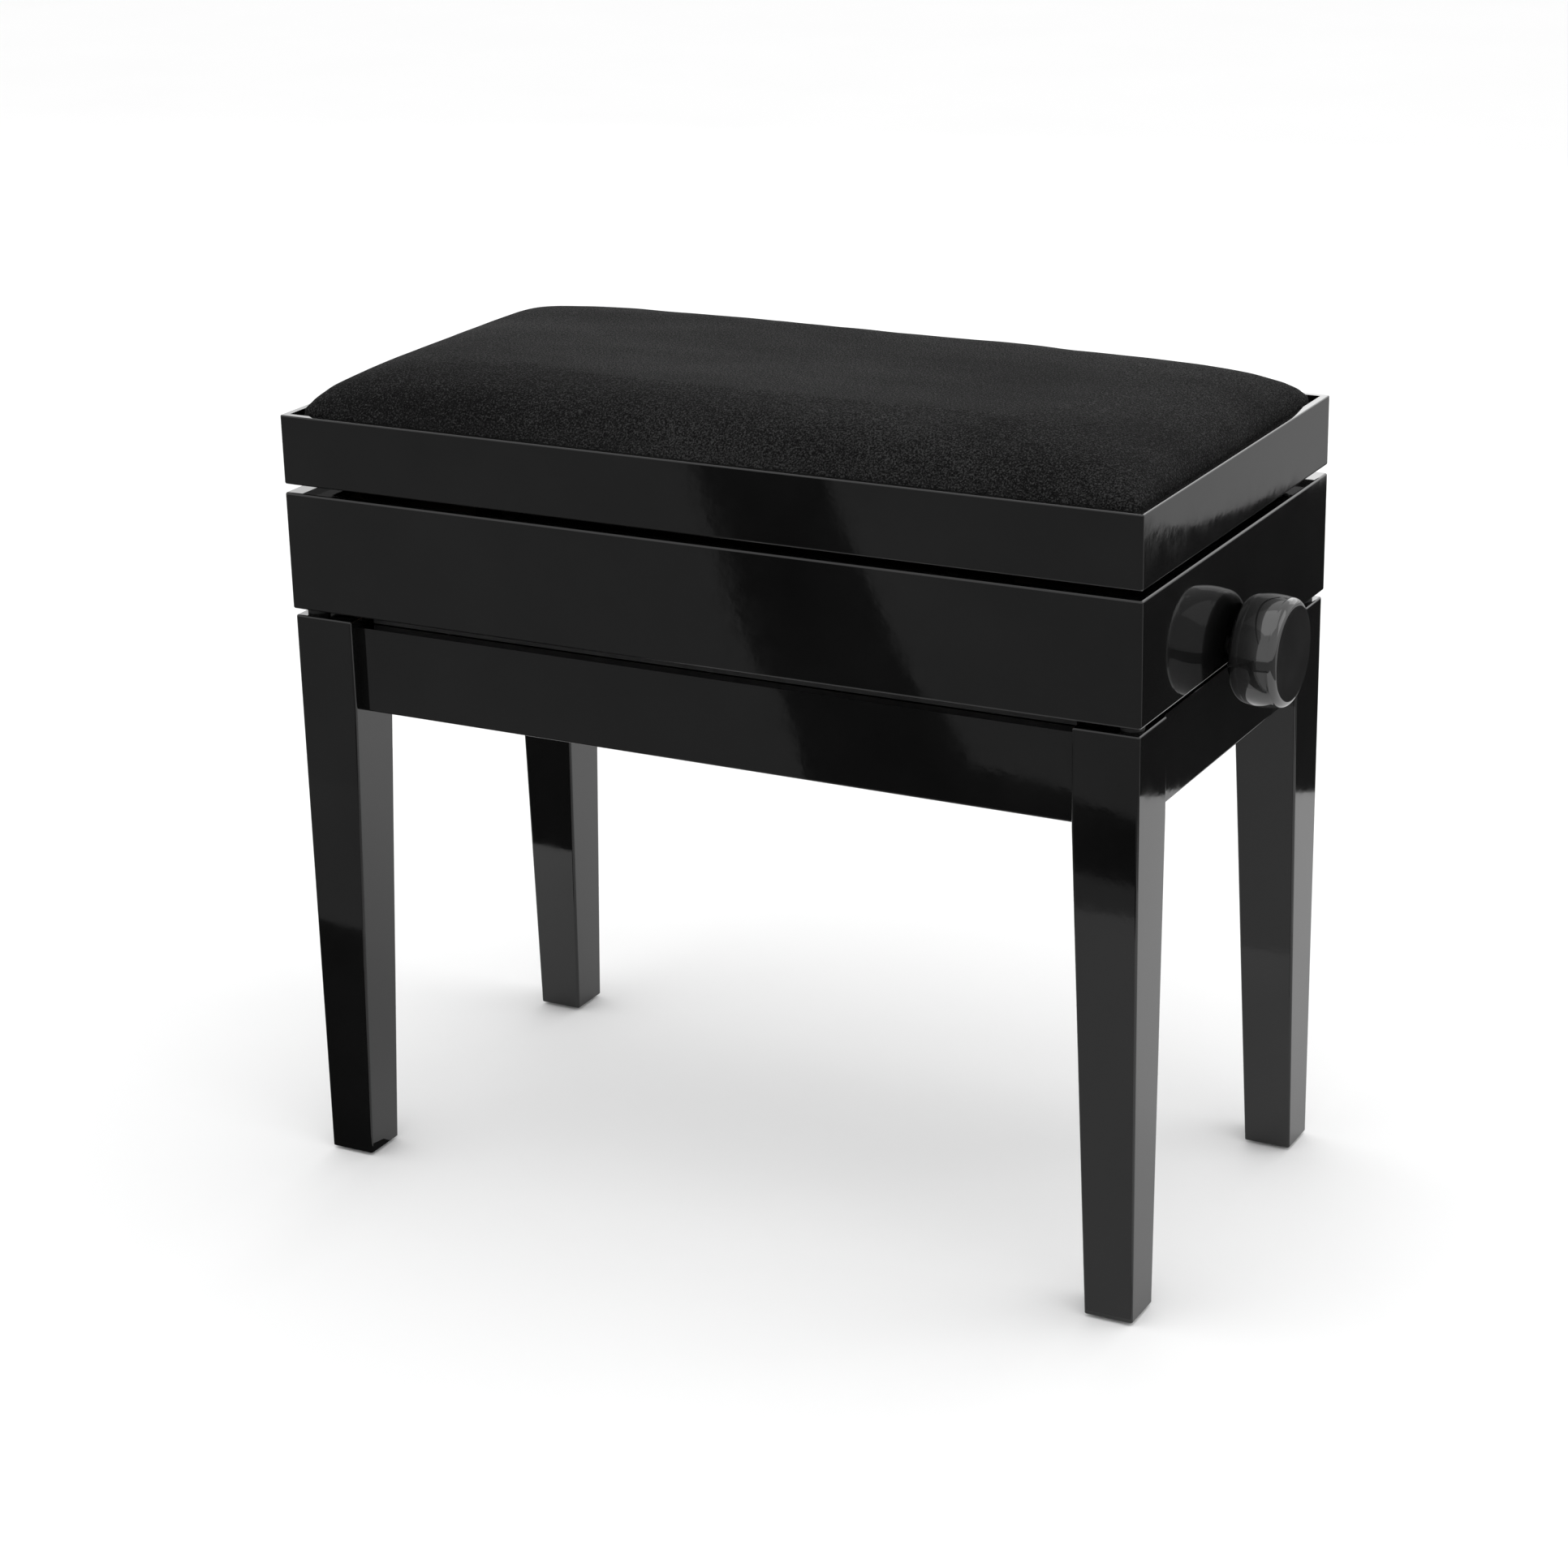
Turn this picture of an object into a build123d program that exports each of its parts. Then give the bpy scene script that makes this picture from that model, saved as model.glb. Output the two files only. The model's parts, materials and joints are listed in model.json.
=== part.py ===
from build123d import *
import os
from math import cos, radians, sin, sqrt

# A height-adjustable piano bench: leg frame with a music box, hinged mechanism case, rising seat.
# Origin on the floor under the middle of the bench, +X to the player's right (the side with the
# knob), +Y to the back (the hinge side), +Z up. Millimetres.

os.makedirs("parts", exist_ok=True)

# ---- Driving dimensions -------------------------------------------------------------------------
bench_width = 555.0
bench_depth = 288.0

# Heights of the three tiers, from the floor up.
foot_height = 2.0
apron_bottom = 299.5
apron_top = 352.5
leg_top = 358.0
case_bottom = 362.0
case_top = 435.0
seat_bottom = 440.0
seat_top = 482.5
cushion_crown = 511.0

# Leg frame.
leg_inset = 1.0
leg_width = 40.0
foot_width = 30.0
leg_corner = 1.5
apron_recess = 7.8
apron_thickness = 18.0
floor_bottom = 306.0
floor_thickness = 4.0
groove_depth = 6.0
corner_block_leg = 44.0
corner_block_bottom = 311.0
corner_block_height = 18.0
bolt_radius = 4.0
bolt_length = 42.0
bumper_x = 267.5
bumper_y = 131.0
bumper_radius = 6.8
bumper_gap = 0.1

# Case and seat frames.
rail_thickness = 18.0
seat_rail_thickness = 20.0
rail_corner = 1.5
rail_edge = 2.6
lip_width = 4.5
lip_edge = 0.8
ledge_height = 466.0
board_thickness = 8.0
cushion_gap = 1.6
cushion_corner = 9.0
cushion_shoulder = 22.0
case_block_bottom = 382.0
case_block_height = 48.0
seat_block_bottom = 445.0

# Lift mechanism.
arm_length = 300.0
arm_rest_angle = 14.0
arm_raised_angle = 32.8
arm_width = 16.0
arm_thickness = 4.0
plate_gap = 0.6
pin_radius = 4.0
pin_clearance = 0.05
bar_radius = 7.0
screwed_bar_radius = 10.0
spindle_radius = 5.0
spindle_height = 368.0
channel_thickness = 3.0
channel_inner_face = 96.0
channel_foot = 12.0
slot_play = 0.3
tray_bottom = 353.0
tray_thickness = 4.0

# Knob.
knob_radius = 32.6
knob_face_radius = 27.0
knob_back = 281.0
knob_front = 311.0
knob_bore_end = 303.0

# Hinges and lid stays.
hinge_y = 139.3
hinge_z = 356.3
hinge_places = (-150.0, 150.0)
hinge_width = 60.0
barrel_radius = 3.0
leaf_thickness = 1.8
knuckles = 5
knuckle_play = 0.2
hinge_pin_radius = 1.5
stay_radius = 70.0
stay_pin_angle = 17.0
stay_pivot_angle = 15.15
stay_width = 14.0
stay_thickness = 2.0
stay_screw_radius = 3.0
stay_screw_depth = 13.0
lid_open_angle = 75.0
lower_leaf_bottom = 331.0
upper_leaf_front = 127.5
leaf_bend = 351.6
leaf_bend_back = 353.6
leaf_bend_front = 353.2
leaf_bend_crest = 355.4
screw_spread = 20.0
screw_radius = 2.0
screw_depth = 12.0
lower_screws = [(c + dx, 340.0) for c in hinge_places for dx in (-screw_spread, 0, screw_spread)]
upper_screws = [(c + dx, 133.0) for c in hinge_places for dx in (-screw_spread, screw_spread)]

# ---- Worked out from them -----------------------------------------------------------------------
half_width = bench_width / 2
half_depth = bench_depth / 2
leg_outer_x = half_width - leg_inset
leg_outer_y = half_depth - leg_inset
leg_inner_x = leg_outer_x - leg_width
leg_inner_y = leg_outer_y - leg_width
apron_outer_x = leg_outer_x - apron_recess
apron_outer_y = leg_outer_y - apron_recess
apron_inner_x = apron_outer_x - apron_thickness
apron_inner_y = apron_outer_y - apron_thickness
floor_top = floor_bottom + floor_thickness
case_inner_x = half_width - rail_thickness
case_inner_y = half_depth - rail_thickness
seat_inner_x = half_width - seat_rail_thickness
seat_inner_y = half_depth - seat_rail_thickness
lip_inner_x = half_width - lip_width
lip_inner_y = half_depth - lip_width
board_top = ledge_height + board_thickness
tray_top = tray_bottom + tray_thickness

arm_reach = arm_length * cos(radians(arm_rest_angle))
raised_reach = arm_length * cos(radians(arm_raised_angle))
left_pivot_x = -arm_reach / 2
right_pivot_x = arm_reach / 2
raised_pivot_x = left_pivot_x + raised_reach
upper_pivot_z = spindle_height + arm_length * sin(radians(arm_rest_angle))
outer_arm_face = channel_inner_face - plate_gap
inner_arm_face = outer_arm_face - arm_thickness - plate_gap
channel_outer_face = channel_inner_face + channel_thickness
pin_end = channel_outer_face + 2.5
lift_travel = arm_length * (sin(radians(arm_raised_angle)) - sin(radians(arm_rest_angle)))

corners = [(sx, sy) for sx in (-1, 1) for sy in (-1, 1)]
sides = (-1, 1)


def save(piece, name):
    """Label a finished piece and write it as its own STEP file."""
    piece.label = name
    export_step(piece, f"parts/{name}.step")


def turned(angle, radius):
    """A point at radius from the hinge axis, angle above the level line towards the front."""
    return (hinge_y - radius * cos(radians(angle)), hinge_z + radius * sin(radians(angle)))


stay_pin = turned(stay_pin_angle, stay_radius)
stay_pivot = turned(-stay_pivot_angle, stay_radius)
stay_closed = 2 * stay_radius * sin(radians(stay_pin_angle + stay_pivot_angle) / 2)
stay_open = 2 * stay_radius * sin(radians(stay_pin_angle + stay_pivot_angle + lid_open_angle) / 2)


def add_rod_x(y, z, radius, low, high, mode=Mode.ADD):
    """Add or cut a round rod along X in the piece being built."""
    with BuildSketch(Plane.YZ.offset(low)) as section:
        with Locations((y, z)):
            Circle(radius)
    extrude(section.sketch, amount=high - low, mode=mode)


def add_rod_y(x, z, radius, low, high, mode=Mode.ADD):
    """Add or cut a round rod along Y in the piece being built."""
    with BuildSketch(Plane.XZ.offset(-high)) as section:
        with Locations((x, z)):
            Circle(radius)
    extrude(section.sketch, amount=high - low, mode=mode)


def both_sides(sx, low, high):
    """A span on the positive side, mirrored when sx is -1."""
    return (low, high) if sx > 0 else (-high, -low)


def outline_edges(part, level):
    """Edges of a frame's outer outline at the given height."""
    return part.edges().filter_by(
        lambda e: abs(e.center().Z - level) < 0.01
        and (abs(e.center().X) > half_width - rail_corner or abs(e.center().Y) > half_depth - rail_corner)
    )


def mitre_wedge(side):
    """Plan outline of the part of a rectangular frame that one rail takes, cut at 45 degrees."""
    over, reach = 5.0, 40.0
    w, d = half_width, half_depth
    front = [(-w - over, -d - over), (w + over, -d - over), (w - reach, reach - d), (reach - w, reach - d)]
    right = [(w + over, -d - over), (w + over, d + over), (w - reach, d - reach), (w - reach, reach - d)]
    return {
        "front": front,
        "back": [(x, -y) for x, y in front][::-1],
        "right": right,
        "left": [(-x, y) for x, y in right][::-1],
    }[side]


# ---- Leg frame ----------------------------------------------------------------------------------
def make_leg(name, sx, sy):
    """Square leg whose inner faces taper below the aprons; the outer faces stay upright."""
    def centre(width):
        return (sx * (leg_outer_x - width / 2), sy * (leg_outer_y - width / 2))

    with BuildPart() as leg:
        with BuildSketch(Plane.XY.offset(foot_height)):
            with Locations(centre(foot_width)):
                RectangleRounded(foot_width, foot_width, leg_corner)
        with BuildSketch(Plane.XY.offset(apron_bottom)):
            with Locations(centre(leg_width)):
                RectangleRounded(leg_width, leg_width, leg_corner)
        loft()
        with BuildSketch(Plane.XY.offset(apron_bottom)):
            with Locations(centre(leg_width)):
                RectangleRounded(leg_width, leg_width, leg_corner)
        extrude(amount=leg_top - apron_bottom)
        fillet(leg.faces().sort_by(Axis.Z)[-1].edges(), radius=1.2)
        fillet(leg.faces().sort_by(Axis.Z)[0].edges(), radius=0.8)
        with BuildSketch(bolt_plane(sx, sy)):
            Circle(bolt_radius)
        extrude(amount=bolt_length, mode=Mode.SUBTRACT)
    save(leg.part, name)


def bolt_plane(sx, sy):
    """Plane on a corner block's inner face, looking along the bolt into the leg."""
    face = corner_block_leg / 2
    origin = (sx * (apron_inner_x - face), sy * (apron_inner_y - face),
              corner_block_bottom + corner_block_height / 2)
    return Plane(origin=origin, z_dir=(sx, sy, 0))


def apron_profile(face):
    """Section of an apron, with the groove that holds the box floor. face is its outer face."""
    inner = face - apron_thickness
    groove = inner + groove_depth
    return [(face, apron_bottom), (inner, apron_bottom), (inner, floor_bottom), (groove, floor_bottom),
            (groove, floor_top), (inner, floor_top), (inner, apron_top), (face, apron_top)]


def make_long_apron(name, sy):
    with BuildPart() as apron:
        with BuildSketch(Plane.YZ.offset(-leg_inner_x)):
            Polygon(*[(sy * y, z) for y, z in apron_profile(apron_outer_y)], align=None)
        extrude(amount=2 * leg_inner_x)
        fillet(apron.edges().filter_by(Axis.X).filter_by(
            lambda e: abs(e.center().Z - apron_bottom) < 0.01), radius=1.2)
    save(apron.part, name)


def make_side_apron(name, sx):
    with BuildPart() as apron:
        with BuildSketch(Plane.XZ.offset(-leg_inner_y)):
            Polygon(*[(sx * x, z) for x, z in apron_profile(apron_outer_x)], align=None)
        extrude(amount=2 * leg_inner_y)
        fillet(apron.edges().filter_by(Axis.Y).filter_by(
            lambda e: abs(e.center().Z - apron_bottom) < 0.01), radius=1.2)
        add_rod_x(*stay_pivot, stay_screw_radius,
                  *both_sides(sx, apron_inner_x - 1.0, apron_inner_x + stay_screw_depth), Mode.SUBTRACT)
    save(apron.part, name)


def make_storage_floor():
    notch_x, notch_y = 30.0, 30.0
    with BuildPart() as floor:
        with BuildSketch(Plane.XY.offset(floor_bottom)):
            Rectangle(2 * (apron_inner_x + groove_depth - 0.4), 2 * (apron_inner_y + groove_depth - 0.4))
            with Locations(*[(sx * (leg_inner_x - 0.3 + notch_x / 2), sy * (leg_inner_y - 0.3 + notch_y / 2))
                             for sx, sy in corners]):
                Rectangle(notch_x, notch_y, mode=Mode.SUBTRACT)
        extrude(amount=floor_thickness)
    save(floor.part, "storage_floor")


def make_corner_blocks():
    """Four glued blocks that brace the leg corners and take the leg bolts."""
    lap_x, lap_y = apron_inner_x - leg_inner_x, apron_inner_y - leg_inner_y
    plan = [(0, lap_y), (lap_x, lap_y), (lap_x, 0), (corner_block_leg, 0), (0, corner_block_leg)]
    with BuildPart() as blocks:
        for sx, sy in corners:
            with BuildSketch(Plane.XY.offset(corner_block_bottom)):
                Polygon(*[(sx * (apron_inner_x - u), sy * (apron_inner_y - v)) for u, v in plan], align=None)
            extrude(amount=corner_block_height)
        for sx, sy in corners:
            with BuildSketch(bolt_plane(sx, sy).offset(-5)):
                Circle(bolt_radius)
            extrude(amount=bolt_length, mode=Mode.SUBTRACT)
    save(blocks.part, "leg_corner_blocks")


def make_leg_bolts():
    with BuildPart() as bolts:
        for sx, sy in corners:
            with BuildSketch(bolt_plane(sx, sy)):
                Circle(bolt_radius)
            extrude(amount=bolt_length - 1.0)
            with BuildSketch(bolt_plane(sx, sy)):
                RegularPolygon(6.5, 6, major_radius=False)
            extrude(amount=-5.3)
    save(bolts.part, "leg_bolts")


def make_floor_glides():
    with BuildPart() as glides:
        with BuildSketch():
            with Locations(*[(sx * (leg_outer_x - foot_width / 2), sy * (leg_outer_y - foot_width / 2))
                             for sx, sy in corners]):
                Circle(11.0)
        extrude(amount=foot_height)
        chamfer(glides.edges().group_by(Axis.Z)[0], length=0.6)
    save(glides.part, "floor_glides")


def make_lid_bumpers():
    """Rubber pads on the leg tops; the case rests on them."""
    with BuildPart() as bumpers:
        with BuildSketch(Plane.XY.offset(leg_top)):
            with Locations(*[(sx * bumper_x, sy * bumper_y) for sx, sy in corners]):
                Circle(bumper_radius)
        extrude(amount=case_bottom - leg_top - bumper_gap)
        fillet(bumpers.edges().group_by(Axis.Z)[-1], radius=0.8)
    save(bumpers.part, "lid_bumpers")


# ---- Hinges and stays ---------------------------------------------------------------------------
def knuckle_spans(centre, which):
    """X spans of the knuckles of one leaf: 0 for the lower leaf, 1 for the upper one."""
    pitch = hinge_width / knuckles
    start = centre - hinge_width / 2
    return [(start + n * pitch + knuckle_play / 2, start + (n + 1) * pitch - knuckle_play / 2)
            for n in range(knuckles) if n % 2 == which]


def add_barrel(spans):
    for low, high in spans:
        add_rod_x(hinge_y, hinge_z, barrel_radius, low, high)


def bore_barrel():
    reach = hinge_places[1] + hinge_width
    add_rod_x(hinge_y, hinge_z, hinge_pin_radius + pin_clearance, -reach, reach, Mode.SUBTRACT)


def make_lower_leaves():
    """Leaves screwed upright on the back of the back apron."""
    with BuildPart() as leaves:
        for centre in hinge_places:
            with BuildSketch(Plane.YZ.offset(centre - hinge_width / 2)):
                Polygon((apron_outer_y, lower_leaf_bottom), (apron_outer_y + leaf_thickness, lower_leaf_bottom),
                        (apron_outer_y + leaf_thickness, leaf_bend), (apron_outer_y, leaf_bend), align=None)
            extrude(amount=hinge_width)
            for low, high in knuckle_spans(centre, 0):
                with BuildSketch(Plane.YZ.offset(low)):
                    Polygon((apron_outer_y, leaf_bend), (apron_outer_y + leaf_thickness, leaf_bend),
                            (hinge_y - 0.6, leaf_bend_back), (hinge_y - 2.2, leaf_bend_crest), (apron_outer_y, leaf_bend_front), align=None)
                extrude(amount=high - low)
            add_barrel(knuckle_spans(centre, 0))
        bore_barrel()
        with BuildSketch(Plane.XZ.offset(-apron_outer_y - leaf_thickness)):
            with Locations(*lower_screws):
                Circle(2.0)
        extrude(amount=leaf_thickness, mode=Mode.SUBTRACT)
    save(leaves.part, "hinge_lower_leaves")


def make_upper_leaves():
    """Leaves screwed flat under the case's back rail."""
    with BuildPart() as leaves:
        for centre in hinge_places:
            with BuildSketch(Plane.YZ.offset(centre - hinge_width / 2)):
                Polygon((upper_leaf_front, case_bottom - leaf_thickness), (hinge_y + 1.2, case_bottom - leaf_thickness),
                        (hinge_y + 1.2, case_bottom), (upper_leaf_front, case_bottom), align=None)
            extrude(amount=hinge_width)
            for low, high in knuckle_spans(centre, 1):
                with BuildSketch(Plane.YZ.offset(low)):
                    Polygon((hinge_y - 1.2, hinge_z + 1.8), (hinge_y + 1.2, hinge_z + 1.8),
                            (hinge_y + 1.2, case_bottom - 0.4), (hinge_y - 1.2, case_bottom - 0.4), align=None)
                extrude(amount=high - low)
            add_barrel(knuckle_spans(centre, 1))
        bore_barrel()
        with BuildSketch(Plane.XY.offset(case_bottom - leaf_thickness)):
            with Locations(*upper_screws):
                Circle(2.0)
        extrude(amount=leaf_thickness, mode=Mode.SUBTRACT)
    save(leaves.part, "hinge_upper_leaves")


def make_hinge_pins():
    with BuildPart() as pins:
        for centre in hinge_places:
            with BuildSketch(Plane.YZ.offset(centre - hinge_width / 2 - 1.0)):
                with Locations((hinge_y, hinge_z)):
                    Circle(hinge_pin_radius)
            extrude(amount=hinge_width + 2.0)
    save(pins.part, "hinge_pins")


def make_hinge_screws():
    """Lower leaf screws run forward into the apron, upper leaf screws run up into the rail."""
    with BuildPart() as low:
        with BuildSketch(Plane.XZ.offset(-apron_outer_y - leaf_thickness)):
            with Locations(*lower_screws):
                Circle(2.0)
        extrude(amount=leaf_thickness + screw_depth - 1.0)
        with BuildSketch(Plane.XZ.offset(-apron_outer_y - leaf_thickness)):
            with Locations(*lower_screws):
                Circle(3.6)
        extrude(amount=-1.3)
    save(low.part, "hinge_lower_screws")
    with BuildPart() as high:
        with BuildSketch(Plane.XY.offset(case_bottom - leaf_thickness)):
            with Locations(*upper_screws):
                Circle(2.0)
        extrude(amount=leaf_thickness + screw_depth)
        with BuildSketch(Plane.XY.offset(case_bottom - leaf_thickness)):
            with Locations(*upper_screws):
                Circle(3.4)
        extrude(amount=-1.2)
    save(high.part, "hinge_upper_screws")


stay_inner = apron_inner_x - 3.1


def make_stay(name, sx):
    """Slotted lid stay: pivots on the side apron, its slot runs on the case's pin."""
    along = (0, stay_pin[0] - stay_pivot[0], stay_pin[1] - stay_pivot[1])
    start_x = stay_inner if sx > 0 else -stay_inner - stay_thickness
    with BuildPart() as stay:
        with BuildSketch(Plane(origin=(start_x, *stay_pivot), x_dir=along, z_dir=(1, 0, 0))):
            with Locations((stay_open / 2, 0)):
                SlotCenterToCenter(stay_open, stay_width)
            Circle(stay_screw_radius + pin_clearance, mode=Mode.SUBTRACT)
            with Locations(((stay_open + stay_closed) / 2, 0)):
                SlotCenterToCenter(stay_open - stay_closed, 6.3, mode=Mode.SUBTRACT)
        extrude(amount=stay_thickness)
    save(stay.part, name)




def make_stay_fasteners():
    with BuildPart() as pivots:
        for sx in sides:
            add_rod_x(*stay_pivot, stay_screw_radius,
                      *both_sides(sx, stay_inner - 0.2, apron_inner_x + stay_screw_depth))
            add_rod_x(*stay_pivot, 5.5, *both_sides(sx, stay_inner - 1.8, stay_inner - 0.2))
            add_rod_x(*stay_pivot, 5.0, *both_sides(sx, stay_inner + stay_thickness + 0.2, apron_inner_x))
    save(pivots.part, "stay_pivot_screws")
    with BuildPart() as pins:
        for sx in sides:
            add_rod_x(*stay_pin, 2.95, *both_sides(sx, stay_inner - 0.3, case_inner_x + 12.0))
            add_rod_x(*stay_pin, 5.5, *both_sides(sx, stay_inner - 1.9, stay_inner - 0.3))
            add_rod_x(*stay_pin, 5.0, *both_sides(sx, stay_inner + stay_thickness + 0.3, case_inner_x))
    save(pins.part, "stay_pins")


def make_stand():
    names = {(-1, -1): "leg_front_left", (1, -1): "leg_front_right",
             (-1, 1): "leg_back_left", (1, 1): "leg_back_right"}
    for (sx, sy), name in names.items():
        make_leg(name, sx, sy)
    make_long_apron("apron_front", -1)
    make_back_apron()
    make_side_apron("apron_left", -1)
    make_side_apron("apron_right", 1)
    make_storage_floor()
    make_corner_blocks()
    make_leg_bolts()
    make_floor_glides()
    make_lid_bumpers()


def make_back_apron():
    """The back apron also takes the screws of the lower hinge leaves."""
    with BuildPart() as apron:
        with BuildSketch(Plane.YZ.offset(-leg_inner_x)):
            Polygon(*apron_profile(apron_outer_y), align=None)
        extrude(amount=2 * leg_inner_x)
        fillet(apron.edges().filter_by(Axis.X).filter_by(
            lambda e: abs(e.center().Z - apron_bottom) < 0.01), radius=1.2)
        with BuildSketch(Plane.XZ.offset(-apron_outer_y)):
            with Locations(*lower_screws):
                Circle(screw_radius)
        extrude(amount=screw_depth - 1.0, mode=Mode.SUBTRACT)
    save(apron.part, "apron_back")


# ---- Case ---------------------------------------------------------------------------------------
def make_case_rail(side):
    with BuildPart() as rail:
        with BuildSketch(Plane.XY.offset(case_bottom)):
            RectangleRounded(bench_width, bench_depth, rail_corner)
            Rectangle(2 * case_inner_x, 2 * case_inner_y, mode=Mode.SUBTRACT)
        extrude(amount=case_top - case_bottom)
        fillet(outline_edges(rail, case_bottom) + outline_edges(rail, case_top), radius=1.4)
        with BuildSketch(Plane.XY.offset(case_bottom)):
            Polygon(*mitre_wedge(side), align=None)
        extrude(amount=case_top - case_bottom, mode=Mode.INTERSECT)
        if side == "right":
            add_rod_x(0, spindle_height, spindle_radius + 1.0, case_inner_x, half_width, Mode.SUBTRACT)
            with BuildSketch(Plane.YZ.offset(case_inner_x)):
                with Locations((0, case_bottom)):
                    Rectangle(2 * (spindle_radius + 1.0), 2 * (spindle_height - case_bottom))
            extrude(amount=rail_thickness, mode=Mode.SUBTRACT)
        if side in ("left", "right"):
            sx = 1 if side == "right" else -1
            add_rod_x(*stay_pin, 2.95, *both_sides(sx, case_inner_x, case_inner_x + 12.0), Mode.SUBTRACT)
        if side == "back":
            with BuildSketch(Plane.XY.offset(case_bottom)):
                with Locations(*upper_screws):
                    Circle(screw_radius)
            extrude(amount=screw_depth, mode=Mode.SUBTRACT)
    save(rail.part, f"case_rail_{side}")


cleat_inner_y = 112.0
cleat_half_length = 225.0
cleat_height = 20.0
tray_half_x = 232.0
tray_half_y = 125.0
tray_screws = [(x, sy * 119.0) for x in (-180.0, 0.0, 180.0) for sy in sides]
channel_bolts = [(x, sy * 105.5) for x in (-155.0, 20.0, 170.0) for sy in sides]


def make_case_inside():
    with BuildPart() as cleats:
        for sy in sides:
            with BuildSketch(Plane.XY.offset(tray_top)):
                with Locations((0, sy * (cleat_inner_y + case_inner_y) / 2)):
                    Rectangle(2 * cleat_half_length, case_inner_y - cleat_inner_y)
            extrude(amount=cleat_height)
        with BuildSketch(Plane.XY.offset(tray_top)):
            with Locations(*tray_screws):
                Circle(2.0)
        extrude(amount=13.0, mode=Mode.SUBTRACT)
    save(cleats.part, "case_cleats")

    block = 30.0
    with BuildPart() as blocks:
        for sx, sy in corners:
            with BuildSketch(Plane.XY.offset(case_block_bottom)):
                Polygon((sx * case_inner_x, sy * case_inner_y), (sx * (case_inner_x - block), sy * case_inner_y),
                        (sx * case_inner_x, sy * (case_inner_y - block)), align=None)
            extrude(amount=case_block_height)
    save(blocks.part, "case_corner_blocks")

    with BuildPart() as tray:
        with BuildSketch(Plane.XY.offset(tray_bottom)):
            Rectangle(2 * tray_half_x, 2 * tray_half_y)
            with Locations(*tray_screws):
                Circle(2.0, mode=Mode.SUBTRACT)
            with Locations(*channel_bolts):
                Circle(2.5, mode=Mode.SUBTRACT)
        extrude(amount=tray_thickness)
    save(tray.part, "mechanism_board")

    with BuildPart() as screws:
        with BuildSketch(Plane.XY.offset(tray_bottom)):
            with Locations(*tray_screws):
                Circle(2.0)
        extrude(amount=tray_thickness + 13.0)
        with BuildSketch(Plane.XY.offset(tray_bottom)):
            with Locations(*tray_screws):
                Circle(4.0)
        extrude(amount=-0.4)
    save(screws.part, "board_screws")


def channel_web(low, high, slot_z, foot_z, bolts, hole):
    """One pair of steel angles: upright web with a pivot hole and a slot, foot turned outwards."""
    left, right = left_pivot_x - 26.0, right_pivot_x + 36.0
    slot_from = raised_pivot_x - pin_radius - slot_play - 2.0
    slot_to = right_pivot_x + pin_radius + slot_play + 2.0
    with BuildPart() as channels:
        for sy in sides:
            far = max(sy * channel_inner_face, sy * channel_outer_face)
            with BuildSketch(Plane.XZ.offset(-far)):
                with Locations(((left + right) / 2, (low + high) / 2)):
                    Rectangle(right - left, high - low)
                with Locations((left_pivot_x, slot_z)):
                    Circle(pin_radius, mode=Mode.SUBTRACT)
                with Locations(((slot_from + slot_to) / 2, slot_z)):
                    SlotOverall(slot_to - slot_from, 2 * (pin_radius + slot_play), mode=Mode.SUBTRACT)
            extrude(amount=channel_thickness)
            with BuildSketch(Plane.XY.offset(foot_z)):
                with Locations(((left + right) / 2, sy * (channel_inner_face + channel_outer_face + channel_foot) / 2)):
                    Rectangle(right - left, channel_thickness + channel_foot)
            extrude(amount=channel_thickness)
        with BuildSketch(Plane.XY.offset(foot_z)):
            with Locations(*bolts):
                Circle(hole)
        extrude(amount=channel_thickness, mode=Mode.SUBTRACT)
    return channels.part


def make_cross_bar(name, x, z, radius, shoulder, screwed):
    with BuildPart() as bar:
        add_rod_y(x, z, radius, -shoulder, shoulder)
        add_rod_y(x, z, pin_radius, -pin_end, pin_end)
        if screwed:
            add_rod_x(0, z, spindle_radius + pin_clearance, x - 2 * radius, x + 2 * radius, Mode.SUBTRACT)
    save(bar.part, name)


def make_bar_washers(name, x, z, spacer):
    """Push-on washers outside the channels, and a spacer where an arm sits one plate further in."""
    with BuildPart() as washers:
        for sy in sides:
            spans = [(channel_outer_face + 0.3, channel_outer_face + 1.8)]
            if spacer:
                spans.append((inner_arm_face + 0.4, channel_inner_face - 0.3))
            for low, high in spans:
                y0, y1 = (low, high) if sy > 0 else (-high, -low)
                add_rod_y(x, z, 7.5 if low > channel_inner_face else 6.5, y0, y1)
        add_rod_y(x, z, pin_radius, -pin_end, pin_end, Mode.SUBTRACT)
    save(washers.part, name)


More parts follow.
